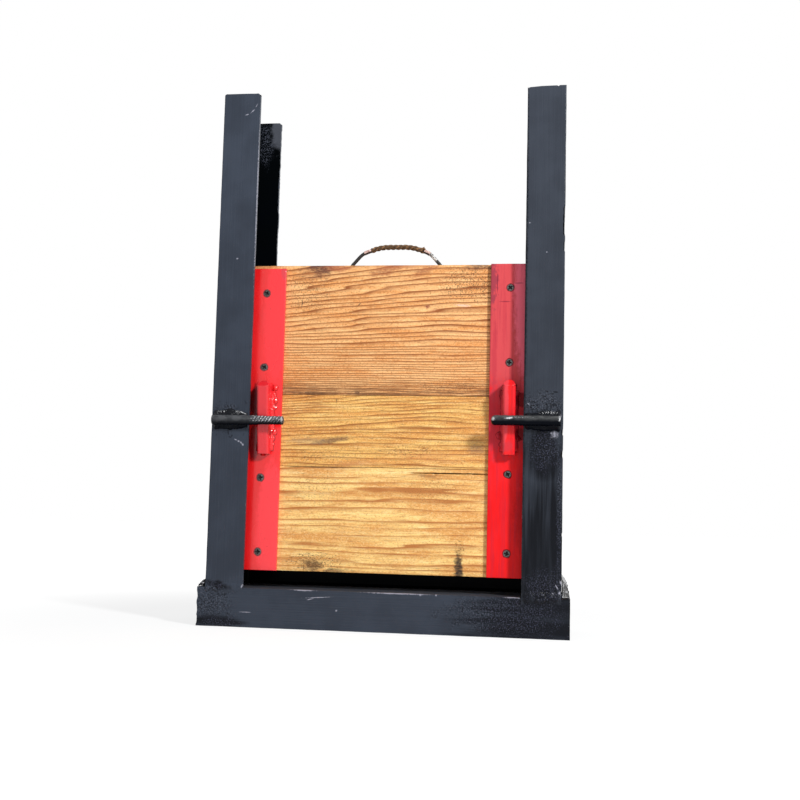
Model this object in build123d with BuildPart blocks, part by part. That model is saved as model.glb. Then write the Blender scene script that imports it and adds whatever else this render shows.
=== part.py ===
"""Hand-lifted sluice gate: a timber gate with steel edge straps that slides in a welded channel frame.

Millimetres. X runs to the right, Y to the back, Z up. The origin is on the ground under the middle of the object.
Two wedges on the gate's face run down behind two catch rods on the frame and hold the closed gate.
"""
import os
from math import atan, cos, sin, radians

from build123d import *

os.makedirs("parts", exist_ok=True)

# Timber boards of the gate, from the bottom up
lower_board_height = 135.0
middle_board_height = 93.5
upper_board_height = 171.5
board_thickness = 50.0
gate_width = 424.0
board_edge_break = 0.6

# Steel straps on the board ends, front and back
strap_width = 75.0
strap_thickness = 5.0
strap_inset = 2.0
strap_edge_break = 0.8
left_strap_drop = 5.0
screw_inset = 25.0
screw_hole_diameter = 4.5
screw_head_diameter = 9.0
screw_head_angle = 90.0
left_screw_height_shares = (0.059, 0.298, 0.659, 0.905)
right_screw_height_shares = (0.076, 0.324, 0.68, 0.922)

# Rolled steel channel of the frame
channel_flange = 50.0
channel_wall = 5.0
channel_corner = 1.5
channel_root = 3.5
flange_corner_round = 4.0
frame_height = 700.0
sill_overhang = 10.5

# Square hollow bars inside the frame, as tall as the closed gate, which its back seals against
seat_size = 30.0
seat_wall = 3.0
seat_corner = 4.0
seat_top_drop = 1.5

# Room around the gate
front_gap = 18.0
seat_clearance = 7.0
side_clearance = 9.0
gate_offset = -3.0
gate_gap = 21.5

# Catch rods across the front flanges
rod_diameter = 13.0
left_rod_length = 93.5
right_rod_length = 86.0
rod_inset = 3.5
left_rod_height = 263.5
right_rod_height = 267.5
left_rod_tip = 1.0
right_rod_tip = 5.0
rod_weld_above = 15.0
rod_weld_below = 11.0
rod_weld_root = 3.0
rod_weld_angle = 75.0
rod_weld_inset = 2.0
weld_fit = 0.05

# Wedges on the straps
wedge_flange_gap = 9.5
wedge_width = 16.5
wedge_above_rod = 44.5
wedge_below_rod = 42.5
wedge_taper_share = 0.143
wedge_bevel_height = 8.0
wedge_bevel_depth = 10.0
wedge_front_round = 4.0
wedge_rod_gap = 0.3
wedge_weld_leg = 4.0
wedge_weld_inset = 4.0

# Welds at the feet of the frame
left_foot_weld_height = 10.0
right_foot_weld_height = 24.0
left_foot_weld_crown = 1.2
right_foot_weld_crown = 2.2
foot_weld_margin = 0.5

# Lifting handle on the top board: a bent wire with a rope grip
handle_offset = 7.0
handle_half_span = 60.0
handle_rise = 29.5
handle_half_top = 20.0
shoulder_half_span = 45.0
shoulder_rise = 21.0
ankle_rise = 4.0
ankle_radius = 8.0
shoulder_radius = 25.0
crown_radius = 60.0
wire_diameter = 4.5
wire_socket = 25.0
wire_socket_gap = 0.15
rope_diameter = 6.5
rope_half_span = 37.0
rope_fit = 0.1

# Sizes that follow from the ones above
gate_height = lower_board_height + middle_board_height + upper_board_height
gate_thickness = board_thickness + 2 * strap_thickness
channel_depth = front_gap + gate_thickness + seat_clearance + seat_size + channel_wall
frame_width = gate_width + 2 * side_clearance + 2 * channel_wall
sill_height = channel_flange
sill_length = frame_width + 2 * sill_overhang
upright_height = frame_height - sill_height
rod_radius = rod_diameter / 2
front_y = (rod_diameter - channel_depth) / 2
back_y = front_y + channel_depth
middle_y = (front_y + back_y) / 2
gate_face_y = front_y + front_gap
board_front_y = gate_face_y + strap_thickness
board_back_y = board_front_y + board_thickness
board_middle_y = (board_front_y + board_back_y) / 2
seat_y = back_y - channel_wall - seat_size / 2
gate_bottom = sill_height + gate_gap
gate_top = gate_bottom + gate_height
clear_depth = channel_depth - 2 * channel_wall
sides = (("left", -1), ("right", 1))
rod_heights = {"left": left_rod_height, "right": right_rod_height}
rod_lengths = {"left": left_rod_length, "right": right_rod_length}
rod_tips = {"left": left_rod_tip, "right": right_rod_tip}
foot_weld_heights = {"left": left_foot_weld_height, "right": right_foot_weld_height}
foot_weld_crowns = {"left": left_foot_weld_crown, "right": right_foot_weld_crown}
strap_drops = {"left": left_strap_drop, "right": 0}
screw_height_shares = {"left": left_screw_height_shares, "right": right_screw_height_shares}


def save(builder, name):
    """Labels a finished piece and writes it to its own file."""
    builder.part.label = name
    export_step(builder.part, f"parts/{name}.step")


# Uprights: channels with the web outside, open towards the gate
for side, sign in sides:
    web_x = sign * frame_width / 2
    toe_x = web_x - sign * channel_flange
    with BuildPart() as guide_channel:
        with BuildSketch(Plane.XY.offset(sill_height)) as section:
            with Locations(((web_x + toe_x) / 2, middle_y)):
                Rectangle(channel_flange, channel_depth)
            fillet(section.vertices().sort_by(Axis.X, reverse=sign > 0)[:2], channel_corner)
            with BuildSketch(mode=Mode.SUBTRACT) as hollow:
                with Locations(((web_x + toe_x) / 2 - sign * channel_wall, middle_y)):
                    Rectangle(channel_flange, clear_depth)
                fillet(hollow.vertices().sort_by(Axis.X, reverse=sign > 0)[:2], channel_root)
        extrude(amount=upright_height)
        top_edges = guide_channel.edges().group_by(Axis.Z)[-1].filter_by(Axis.Y)
        fillet(top_edges.sort_by(Axis.X, reverse=sign < 0)[:2], flange_corner_round)
    save(guide_channel, f"{side}_guide_channel")

# Sill: the same channel laid across with its web on top
with BuildPart() as sill_channel:
    with BuildSketch(Plane.YZ) as section:
        with Locations((middle_y, sill_height / 2)):
            Rectangle(channel_depth, sill_height)
        fillet(section.vertices().sort_by(Axis.Y)[-2:], channel_corner)
        with BuildSketch(mode=Mode.SUBTRACT) as hollow:
            with Locations((middle_y, sill_height / 2 - channel_wall)):
                Rectangle(clear_depth, sill_height)
            fillet(hollow.vertices().sort_by(Axis.Y)[-2:], channel_root)
    extrude(amount=sill_length / 2, both=True)
save(sill_channel, "sill_channel")

# Seat bars in the back of both uprights
seat_height = gate_top - seat_top_drop - sill_height
seat_bore = seat_size - 2 * seat_wall
seat_bore_corner = seat_corner - seat_wall
for side, sign in sides:
    seat_x = sign * (frame_width / 2 - channel_wall - seat_size / 2)
    with BuildPart() as seat_bar:
        with BuildSketch(Plane.XY.offset(sill_height)):
            with Locations((seat_x, seat_y)):
                RectangleRounded(seat_size, seat_size, seat_corner)
                RectangleRounded(seat_bore, seat_bore, seat_bore_corner, mode=Mode.SUBTRACT)
        extrude(amount=seat_height)
    save(seat_bar, f"{side}_seat_bar")

# Seat bar along the sill, between the two side bars
with BuildPart() as bottom_seat_bar:
    with BuildSketch(Plane.YZ):
        with Locations((seat_y, sill_height + seat_size / 2)):
            RectangleRounded(seat_size, seat_size, seat_corner)
            RectangleRounded(seat_bore, seat_bore, seat_bore_corner, mode=Mode.SUBTRACT)
    extrude(amount=frame_width / 2 - channel_wall - seat_size, both=True)
save(bottom_seat_bar, "bottom_seat_bar")

# Catch rods, lying on the front flanges and reaching in over the gate's straps
rod_y = front_y - rod_radius
for side, sign in sides:
    rod_outer_x = sign * (frame_width / 2 - rod_inset)
    with BuildPart() as catch_rod:
        with BuildSketch(Plane.YZ.offset(rod_outer_x)):
            with Locations((rod_y, rod_heights[side])):
                Circle(rod_radius)
        extrude(amount=-sign * rod_lengths[side])
        end_edges = catch_rod.edges().filter_by(GeomType.CIRCLE)
        fillet(end_edges.sort_by(Axis.X, reverse=sign < 0)[0], rod_tips[side])
    save(catch_rod, f"{side}_catch_rod")

# Weld beads above and below each rod, on the flange
bead_y = rod_y + rod_radius * cos(radians(rod_weld_angle))
bead_rise = rod_radius * sin(radians(rod_weld_angle))
for side, sign in sides:
    bead_outer_x = sign * (frame_width / 2 - channel_corner - rod_weld_inset)
    bead_length = channel_flange - channel_corner - 2 * rod_weld_inset
    rod_height = rod_heights[side]
    with BuildPart() as rod_weld:
        with BuildSketch(Plane.YZ.offset(bead_outer_x)):
            for up, weld_reach in ((1, rod_weld_above), (-1, rod_weld_below)):
                with BuildLine():
                    Polyline(
                        (front_y, rod_height + up * rod_weld_root),
                        (front_y, rod_height + up * weld_reach),
                        (bead_y, rod_height + up * bead_rise),
                        close=True,
                    )
                make_face()
            with Locations((rod_y, rod_height)):
                Circle(rod_radius + weld_fit, mode=Mode.SUBTRACT)
        extrude(amount=-sign * bead_length)
    save(rod_weld, f"{side}_rod_weld")

# Fillet welds where the uprights stand on the ends of the sill
foot_weld_length = channel_depth - 2 * channel_corner
foot_weld_leg = sill_overhang - foot_weld_margin
for side, sign in sides:
    web_x = sign * frame_width / 2
    weld_end = (web_x + sign * foot_weld_leg, sill_height)
    weld_top = (web_x, sill_height + foot_weld_heights[side])
    weld_crown = (
        web_x + sign * (foot_weld_leg / 2 + foot_weld_crowns[side]),
        sill_height + foot_weld_heights[side] / 2 + foot_weld_crowns[side],
    )
    with BuildPart() as foot_weld:
        with BuildSketch(Plane.XZ.offset(-middle_y)):
            with BuildLine():
                Line((web_x, sill_height), weld_end)
                ThreePointArc(weld_end, weld_crown, weld_top)
                Line(weld_top, (web_x, sill_height))
            make_face()
        extrude(amount=foot_weld_length / 2, both=True)
    save(foot_weld, f"{side}_foot_weld")

# Handle feet on the gate's top
handle_x = gate_offset + handle_offset
foot_places = ((handle_x - handle_half_span, board_middle_y), (handle_x + handle_half_span, board_middle_y))

# Boards, stacked edge to edge, the top one drilled for the handle
board_bottom = gate_bottom
board_rows = (("lower", lower_board_height), ("middle", middle_board_height), ("upper", upper_board_height))
for row, height in board_rows:
    with BuildPart() as board:
        with BuildSketch(Plane.XY.offset(board_bottom)):
            with Locations((gate_offset, board_middle_y)):
                Rectangle(gate_width, board_thickness)
        extrude(amount=height)
        chamfer(board.edges().filter_by(Axis.X), board_edge_break)
        if row == "upper":
            with Locations(*[(x, y, gate_top) for x, y in foot_places]):
                Hole(wire_diameter / 2 + wire_socket_gap, depth=wire_socket)
    save(board, f"{row}_board")
    board_bottom += height

# Straps over the board ends, on both faces of the gate, with countersunk screw holes
strap_faces = (("front", gate_face_y), ("rear", board_back_y))
for side, sign in sides:
    strap_x = gate_offset + sign * (gate_width / 2 - strap_inset - strap_width / 2)
    strap_height = gate_height - strap_drops[side]
    for face, strap_y in strap_faces:
        with BuildPart() as strap:
            with BuildSketch(Plane.XY.offset(gate_bottom)):
                with Locations((strap_x, strap_y + strap_thickness / 2)):
                    Rectangle(strap_width, strap_thickness)
            extrude(amount=strap_height)
            outer_face = strap.faces().filter_by(Axis.Y).sort_by(Axis.Y, reverse=face == "rear")[0]
            outer_plane = Plane(outer_face)
            chamfer(outer_face.edges(), strap_edge_break)
            screw_x = strap_x - sign * (strap_width / 2 - screw_inset)
            for share in screw_height_shares[side]:
                screw_place = Vector(screw_x, outer_plane.origin.Y, gate_bottom + share * gate_height)
                with Locations(Plane(screw_place, z_dir=outer_plane.z_dir)):
                    CounterSinkHole(
                        screw_hole_diameter / 2,
                        screw_head_diameter / 2,
                        counter_sink_angle=screw_head_angle,
                    )
        save(strap, f"{side}_{face}_strap")

# Wedges: thick at the top, their sloping face close behind the catch rods
wedge_angle = atan(wedge_taper_share)
wedge_rod_y = rod_y + (rod_radius + wedge_rod_gap) / cos(wedge_angle)
wedge_foot_y = wedge_rod_y + wedge_taper_share * wedge_below_rod
wedge_head_y = wedge_rod_y - wedge_taper_share * wedge_above_rod
wedge_spread = frame_width / 2 - channel_flange - wedge_flange_gap - wedge_width / 2
for side, sign in sides:
    wedge_x = sign * wedge_spread
    wedge_bottom = rod_heights[side] - wedge_below_rod
    wedge_shoulder = rod_heights[side] + wedge_above_rod
    wedge_top = wedge_shoulder + wedge_bevel_height
    with BuildPart() as wedge:
        with BuildSketch(Plane.YZ.offset(wedge_x)):
            with BuildLine():
                Polyline(
                    (gate_face_y, wedge_bottom),
                    (wedge_foot_y, wedge_bottom),
                    (wedge_head_y, wedge_shoulder),
                    (wedge_head_y + wedge_bevel_depth, wedge_top),
                    (gate_face_y, wedge_top),
                    close=True,
                )
            make_face()
        extrude(amount=wedge_width / 2, both=True)
        sloping_face = wedge.faces().sort_by(lambda face: face.normal_at().Y)[0]
        fillet(sloping_face.edges().filter_by(Axis.X, reverse=True), wedge_front_round)
    save(wedge, f"{side}_wedge")

# Weld beads along both sides of each wedge
wedge_weld_length = wedge_below_rod + wedge_above_rod - 2 * wedge_weld_inset
for side, sign in sides:
    with BuildPart() as wedge_weld:
        with BuildSketch(Plane.XY.offset(rod_heights[side] - wedge_below_rod + wedge_weld_inset)):
            for edge_sign in (-1, 1):
                edge_x = sign * wedge_spread + edge_sign * wedge_width / 2
                with BuildLine():
                    Polyline(
                        (edge_x, gate_face_y),
                        (edge_x + edge_sign * wedge_weld_leg, gate_face_y),
                        (edge_x, gate_face_y - wedge_weld_leg),
                        close=True,
                    )
                make_face()
        extrude(amount=wedge_weld_length)
    save(wedge_weld, f"{side}_wedge_weld")

# Handle wire: feet in the top board, legs leaning in to a long flat arch
wire_points = (
    (-handle_half_span, -wire_socket),
    (-handle_half_span, ankle_rise),
    (-shoulder_half_span, shoulder_rise),
    (-handle_half_top, handle_rise),
    (handle_half_top, handle_rise),
    (shoulder_half_span, shoulder_rise),
    (handle_half_span, ankle_rise),
    (handle_half_span, -wire_socket),
)
wire_radii = (ankle_radius, shoulder_radius, crown_radius, crown_radius, shoulder_radius, ankle_radius)
handle_plane = Plane.XZ.offset(-board_middle_y)
with BuildPart() as handle_wire:
    with BuildLine(handle_plane) as wire_path:
        FilletPolyline(*[(handle_x + x, gate_top + z) for x, z in wire_points], radius=wire_radii)
    with BuildSketch(Plane(wire_path.line @ 0, z_dir=wire_path.line % 0)):
        Circle(wire_diameter / 2)
    sweep()
save(handle_wire, "handle_wire")

# Rope grip, a sleeve round the arch of the wire
crown_slope = (handle_rise - shoulder_rise) / (shoulder_half_span - handle_half_top)
rope_end_rise = shoulder_rise + crown_slope * (shoulder_half_span - rope_half_span)
rope_points = (
    (-rope_half_span, rope_end_rise),
    (-handle_half_top, handle_rise),
    (handle_half_top, handle_rise),
    (rope_half_span, rope_end_rise),
)
with BuildPart() as handle_rope:
    with BuildLine(handle_plane) as rope_path:
        FilletPolyline(*[(handle_x + x, gate_top + z) for x, z in rope_points], radius=crown_radius)
    with BuildSketch(Plane(rope_path.line @ 0, z_dir=rope_path.line % 0)):
        Circle(rope_diameter / 2)
        Circle(wire_diameter / 2 + rope_fit, mode=Mode.SUBTRACT)
    sweep()
save(handle_rope, "handle_rope")
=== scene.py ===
"""Looks of the sluice gate: a timber gate with red steel straps that slides in a black welded frame."""
import random
from math import copysign, cos, hypot, pi, radians, sin, sqrt

import bmesh
import bpy
from mathutils import Euler, Matrix, Vector, noise


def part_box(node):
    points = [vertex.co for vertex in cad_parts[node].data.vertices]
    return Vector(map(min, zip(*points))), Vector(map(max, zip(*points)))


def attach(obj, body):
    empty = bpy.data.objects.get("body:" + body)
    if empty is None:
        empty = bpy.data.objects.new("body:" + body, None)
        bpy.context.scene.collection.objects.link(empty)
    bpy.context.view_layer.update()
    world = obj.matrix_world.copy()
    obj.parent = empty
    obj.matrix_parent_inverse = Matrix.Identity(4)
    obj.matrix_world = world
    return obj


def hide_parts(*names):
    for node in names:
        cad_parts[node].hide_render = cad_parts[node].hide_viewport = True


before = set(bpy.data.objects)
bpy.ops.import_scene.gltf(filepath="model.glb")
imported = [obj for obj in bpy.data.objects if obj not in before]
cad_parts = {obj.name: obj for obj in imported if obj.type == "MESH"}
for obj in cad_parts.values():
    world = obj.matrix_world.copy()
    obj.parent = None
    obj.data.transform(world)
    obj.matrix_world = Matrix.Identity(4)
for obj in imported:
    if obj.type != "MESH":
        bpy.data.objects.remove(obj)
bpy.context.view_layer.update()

MM = 0.001


def box(node):
    """A node's lowest and highest corners in millimetres."""
    low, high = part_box(node)
    return Vector(low) / MM, Vector(high) / MM


FRONT_Y = box("left_guide_channel")[0].y
STRAP_Y = box("left_front_strap")[0].y
STRAP_BACK_Y = box("left_rear_strap")[1].y
BOARD_Y = box("upper_board")[0].y
AXES = {"x": 0, "y": 1, "z": 2}
BLACK_STEEL = ("frame", "frame_paint")
RED_STEEL = ("gate", "gate_paint")
TIMBER = ("gate", "timber")
BARE_STEEL = ("gate", "handle_steel")
ROPE = ("gate", "rope")
SCREW_HEIGHTS = {"left": (95.1, 190.7, 335.1, 433.5), "right": (101.9, 201.1, 343.5, 440.3)}
SCREW_X = {"left": -163, "right": 157}


class Nodes:
    """Shader nodes in the making."""

    def __init__(self, tree):
        self.tree = tree

    def add(self, kind, *values, **settings):
        """A new node, with its settings and the values of its first inputs."""
        node = self.tree.nodes.new(kind)
        for key, value in settings.items():
            setattr(node, key, value)
        for socket, value in zip(node.inputs, values):
            self.feed(socket, value)
        return node

    def feed(self, socket, value):
        if isinstance(value, bpy.types.NodeSocket):
            self.tree.links.new(value, socket)
        else:
            socket.default_value = (*value, 1) if socket.type == "RGBA" else value

    def set(self, node, **values):
        """Sets inputs of a node by their names, with _ for a space."""
        for key, value in values.items():
            self.feed(node.inputs[key.replace("_", " ")], value)

    def math(self, operation, *values):
        return self.add("ShaderNodeMath", *values, operation=operation).outputs[0]

    def times(self, first, second):
        return self.math("MULTIPLY", first, second)

    def times_plus(self, first, second, third):
        return self.math("MULTIPLY_ADD", first, second, third)

    def most(self, *values):
        """The largest of several masks."""
        result = values[0]
        for value in values[1:]:
            result = self.math("MAXIMUM", result, value)
        return result

    def show_instead(self, light, seen, output, share=1):
        """Lights by one shader and shows another to the rays that reach the picture."""
        path = self.add("ShaderNodeLightPath").outputs
        rays = self.most(*[path[f"Is {kind} Ray"] for kind in ("Camera", "Glossy", "Transmission")])
        both = self.add("ShaderNodeMixShader", self.times(rays, share), light.outputs[0], seen.outputs[0])
        self.set(self.tree.nodes[output], Surface=both.outputs[0])


class Shader(Nodes):
    """A node material in the making. Its lengths are millimetres of the part frame."""

    def __init__(self, name):
        self.material = bpy.data.materials.new(name)
        self.material.use_nodes = True
        super().__init__(self.material.node_tree)
        self.bsdf = self.tree.nodes["Principled BSDF"]
        self.colour = None
        coordinates = self.add("ShaderNodeTexCoord").outputs["Object"]
        self.place = self.vector("SCALE", coordinates, scale=1 / MM)
        self.x, self.y, self.z = self.split(self.place)

    def shade(self, **values):
        self.set(self.bsdf, Base_Color=self.colour, **values)

    def vector(self, operation, *values, scale=None):
        node = self.add("ShaderNodeVectorMath", *values, operation=operation)
        if scale is not None:
            self.set(node, Scale=scale)
        return node.outputs["Value"] if operation == "LENGTH" else node.outputs["Vector"]

    def split(self, vector):
        return self.add("ShaderNodeSeparateXYZ", vector).outputs

    def noise(self, size, seed, detail=3, roughness=0.55):
        """Noise with features of the given size along each axis."""
        size = size if isinstance(size, tuple) else (size, size, size)
        grid = self.vector("DIVIDE", self.place, size)
        start = self.vector("ADD", grid, (seed, seed * 1.7, seed * 2.3))
        node = self.add("ShaderNodeTexNoise")
        self.set(node, Vector=start, Scale=1, Detail=detail, Roughness=roughness)
        return node.outputs["Fac"]

    def step(self, value, low, high, to_low=0, to_high=1):
        """A smooth step from low to high."""
        values = (value, low, high, to_low, to_high)
        return self.add("ShaderNodeMapRange", *values, interpolation_type="SMOOTHSTEP").outputs[0]

    def mix(self, factor, first, second):
        node = self.add("ShaderNodeMix", factor, data_type="RGBA")
        self.feed(node.inputs[6], first)
        self.feed(node.inputs[7], second)
        return node.outputs[2]

    def paint(self, tone, where, strength=1):
        """Lays a tone over the colour so far, where a mask says."""
        share = where if strength == 1 else self.times(where, strength)
        self.colour = self.mix(share, self.colour, tone)

    def ramp(self, factor, *stops):
        """A grey ramp through (place, value) stops."""
        node = self.add("ShaderNodeValToRGB", factor)
        points = node.color_ramp.elements
        while len(points) < len(stops):
            points.new(0.5)
        for point, (place, value) in zip(points, stops):
            point.position = place
            point.color = (value, value, value, 1)
        return node.outputs[0]

    def spot(self, place, ragged, rag, hard):
        """1 inside an ellipse, 0 outside. ragged: a noise that eats into its rim."""
        centre, radii, turn = place
        values = (self.place, centre, (0, radians(turn), 0), radii)
        frame_of = self.add("ShaderNodeMapping", *values, vector_type="TEXTURE")
        reach = self.vector("LENGTH", frame_of.outputs[0])
        reach = self.times_plus(self.math("SUBTRACT", ragged, 0.5), 2 * rag, reach)
        return self.step(reach, 1, 1 - hard)

    def spots(self, places, ragged, rag, hard):
        """1 inside any of several ellipses."""
        return self.most(0, *[self.spot(place, ragged, rag, hard) for place in places])

    def attribute(self, name):
        return self.add("ShaderNodeAttribute", attribute_name=name).outputs["Fac"]

    def facing_up(self):
        return self.split(self.add("ShaderNodeNewGeometry").outputs["Normal"])["Z"]

    def relief(self, height, depth):
        """Bumps of the given depth in millimetres."""
        node = self.add("ShaderNodeBump")
        self.set(node, Strength=1, Distance=depth * MM, Height=height)
        self.set(self.bsdf, Normal=node.outputs[0])


BRUSH = {"x": (110, 1.5, 1.5), "z": (1.5, 1.5, 110)}
RUNS = {"x": (150, 7, 7), "z": (7, 7, 150)}
BLACK = (0.0012, 0.002, 0.0045)
# The slate film over the black frame paint: partly painted sky reflection.
SLATE_SKY_SHEEN = (0.045, 0.056, 0.079)
LIT_PATCH_TONE = (0.072, 0.079, 0.097)
CRUMB = (0.085, 0.095, 0.125)
DARK_CRUMB = (0.054, 0.058, 0.092)
RUBBED = (0.16, 0.16, 0.17)
PALE_CHIP_AND_HIGHLIGHT = (0.36, 0.36, 0.43)
GLINT_WHITE = (0.62, 0.63, 0.65)
SILT = (0.095, 0.07, 0.052)


def frame_enamel(name, along, seed, film=SLATE_SKY_SHEEN, gloss=0.14, rough=(), dark=(), pale=(), chips_and_glints=(), marks=(),
                 strokes=(), dusty=0.45):
    """Black gloss paint under a slate film, brushed on, lumpy round the welds, worn along the edges, chipped.
    The film is
    partly painted sky reflection. rough: gritty places. dark: darker places with little film, some of them
    painted shade.
    pale: painted light, a lighter film. marks, strokes: light and dark scratches, among them painted edge
    highlights and painted shade lines."""
    s = Shader(name)
    brush = s.noise(BRUSH[along], seed, 4, 0.6)
    runs = s.noise(RUNS[along], seed + 1, 3, 0.6)
    cloud = s.noise(45, seed + 3, 2)
    grit = s.noise(2.6, seed + 5, 4, 0.65)
    crumb = s.noise(1.7, seed + 8, 2, 0.6)
    lump = s.noise(7, seed + 6, 2)
    ragged = s.noise(12, seed + 7, 4, 0.65)
    rough_zone = s.spots(rough, ragged, 0.8, 0.7)
    # Darker places with less film; on the lower right upright and the right of the sill these are painted
    # shade.
    dark_and_shaded_zone = s.spots(dark, runs, 0.7, 0.6)
    slate_sheen = s.times_plus(s.step(brush, 0.25, 0.8), 0.1, 0.56)
    slate_sheen = s.times_plus(s.step(cloud, 0.25, 0.75), 0.2, slate_sheen)
    # The film is painted lighter towards the top.
    slate_sheen = s.times(slate_sheen, s.step(s.z, 250, 690, 1, 1.2))
    thin_film_and_shade = s.times(dark_and_shaded_zone, s.step(runs, 0.75, 0.45, 0.65, 0.96))
    slate_sheen = s.times(slate_sheen, s.math("SUBTRACT", 1, thin_film_and_shade))
    pits = s.times(rough_zone, s.step(grit, 0.55, 0.42))
    slate_sheen = s.times(slate_sheen, s.times_plus(pits, -0.8, 1))
    s.colour = s.mix(slate_sheen, BLACK, film)
    # Painted light: a lighter film where a pool of light lies.
    s.paint(LIT_PATCH_TONE, s.spots(pale, ragged, 0.8, 0.5))
    s.paint(s.mix(dark_and_shaded_zone, CRUMB, DARK_CRUMB), s.times(rough_zone, s.step(crumb, 0.52, 0.6)), 0.65)
    worn = s.times(s.attribute("edge"), s.step(s.noise((7, 7, 14), seed + 9, 4, 0.7), 0.5, 0.64))
    s.paint(RUBBED, worn, 0.6)
    bare = s.spots(chips_and_glints, grit, 1.2, 0.6)
    s.paint(PALE_CHIP_AND_HIGHLIGHT, s.times(bare, s.step(brush, 0.4, 0.6, 0.25, 0.75)))
    # Light scratches, and on some paints painted edge highlights.
    s.paint(PALE_CHIP_AND_HIGHLIGHT, s.spots(marks, grit, 0.9, 0.7), 0.8)
    # Dark scratches, and painted shade lines along edges.
    groove_and_shade_line = s.spots(strokes, grit, 0.6, 0.6)
    s.paint(BLACK, groove_and_shade_line, 0.9)
    ledge = s.step(s.facing_up(), 0.75, 0.98)
    settled = s.step(s.noise(5, seed + 11, 5, 0.7), 0.4, 0.7)
    s.paint(SILT, s.times(ledge, settled), dusty)
    shine = s.times_plus(s.step(cloud, 0.3, 0.7), 0.08, 0.2)
    shine = s.times_plus(s.step(brush, 0.35, 0.75), 0.08, shine)
    shine = s.times_plus(s.most(worn, ledge, bare), 0.2, shine)
    shine = s.times_plus(ledge, 0.25, shine)
    height = s.times_plus(brush, 0.05, s.times(lump, 0.2))
    height = s.times_plus(s.times(rough_zone, grit), 1.8, height)
    height = s.times_plus(s.most(bare, groove_and_shade_line), -0.4, height)
    s.relief(height, 0.5)
    s.shade(Roughness=shine, Specular_IOR_Level=gloss)
    return s.material


def thick_enamel(name, seed, top_sheen, glint_level, gloss=0.05, lit=(-0.9, 0.45), chips_and_glints=(), sparkle=(), ribs=None):
    """Paint laid thick over rods and welds: black below and greyer on top by a painted sky reflection, with
    painted white
    glints. top_sheen: the colour of that painted reflection. lit: the slopes between which it begins.
    glint_level: the level
    of noise at which a painted glint shows. sparkle: places with many. chips_and_glints: spots of painted
    highlight. ribs:
    where a bar's ribs begin, their lean and their pitch; the glints sit on their crests."""
    s = Shader(name)
    cloud = s.noise((9, 5, 5), seed)
    grit = s.noise(1.8, seed + 2, 4, 0.65)
    spark = s.noise(1.2, seed + 3, 3, 0.6)
    ragged = s.noise(5, seed + 4)
    up = s.facing_up()
    # Painted sky reflection: greyer on the faces that look up.
    s.colour = s.mix(s.times(s.step(up, *lit), s.step(cloud, 0.3, 0.62, 0.5, 1)), BLACK, top_sheen)
    # Painted glints: small white spots, more in the sparkle places and on the rib crests.
    level = s.times_plus(s.spots(sparkle, ragged, 0.5, 0.8), -0.3, glint_level)
    glint = s.step(s.math("SUBTRACT", spark, level), 0, 0.05)
    glint = s.times(glint, s.step(up, -0.55, 0.05))
    if ribs:
        start, lean, pitch = ribs
        slant = s.times_plus(s.math("SUBTRACT", s.z, start[1]), lean, s.math("SUBTRACT", start[0], s.x))
        crest = s.math("COSINE", s.times(slant, 2 * pi / pitch))
        glint = s.times(glint, s.step(crest, -0.3, 0.5, 0.12, 1))
    # The spots given here are painted highlights as well.
    s.paint(GLINT_WHITE, s.most(glint, s.spots(chips_and_glints, grit, 1.3, 0.8)))
    s.relief(s.times_plus(grit, 0.3, cloud), 0.35)
    s.shade(Roughness=s.step(cloud, 0.3, 0.7, 0.1, 0.24), Specular_IOR_Level=gloss)
    return s.material


RED = (0.78, 0.01, 0.012)
LIGHT_RED = (0.88, 0.018, 0.022)
BRUSHED_RED = (0.62, 0.006, 0.009)
STREAK = (0.34, 0.022, 0.05)
RIM_RED = (0.16, 0.003, 0.007)
WORN_AND_LIT_RED = (0.88, 0.16, 0.16)
FLECK_RED = (0.25, 0.01, 0.012)
# Pale pinks of painted sky reflection on the right strap, the second where the upright's shadow falls.
PAINTED_SKY_PINK = (0.6, 0.074, 0.084)
SHADE_SKYLIGHT_PINK = (0.98, 0.165, 0.235)
MUTED = (0.5, 0.04, 0.06)
DEEP = (0.2, 0.003, 0.007)
SCRATCH_RED = (0.2, 0.02, 0.04)
SCREW_GAP = (0.016, 0.004, 0.004)


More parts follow.
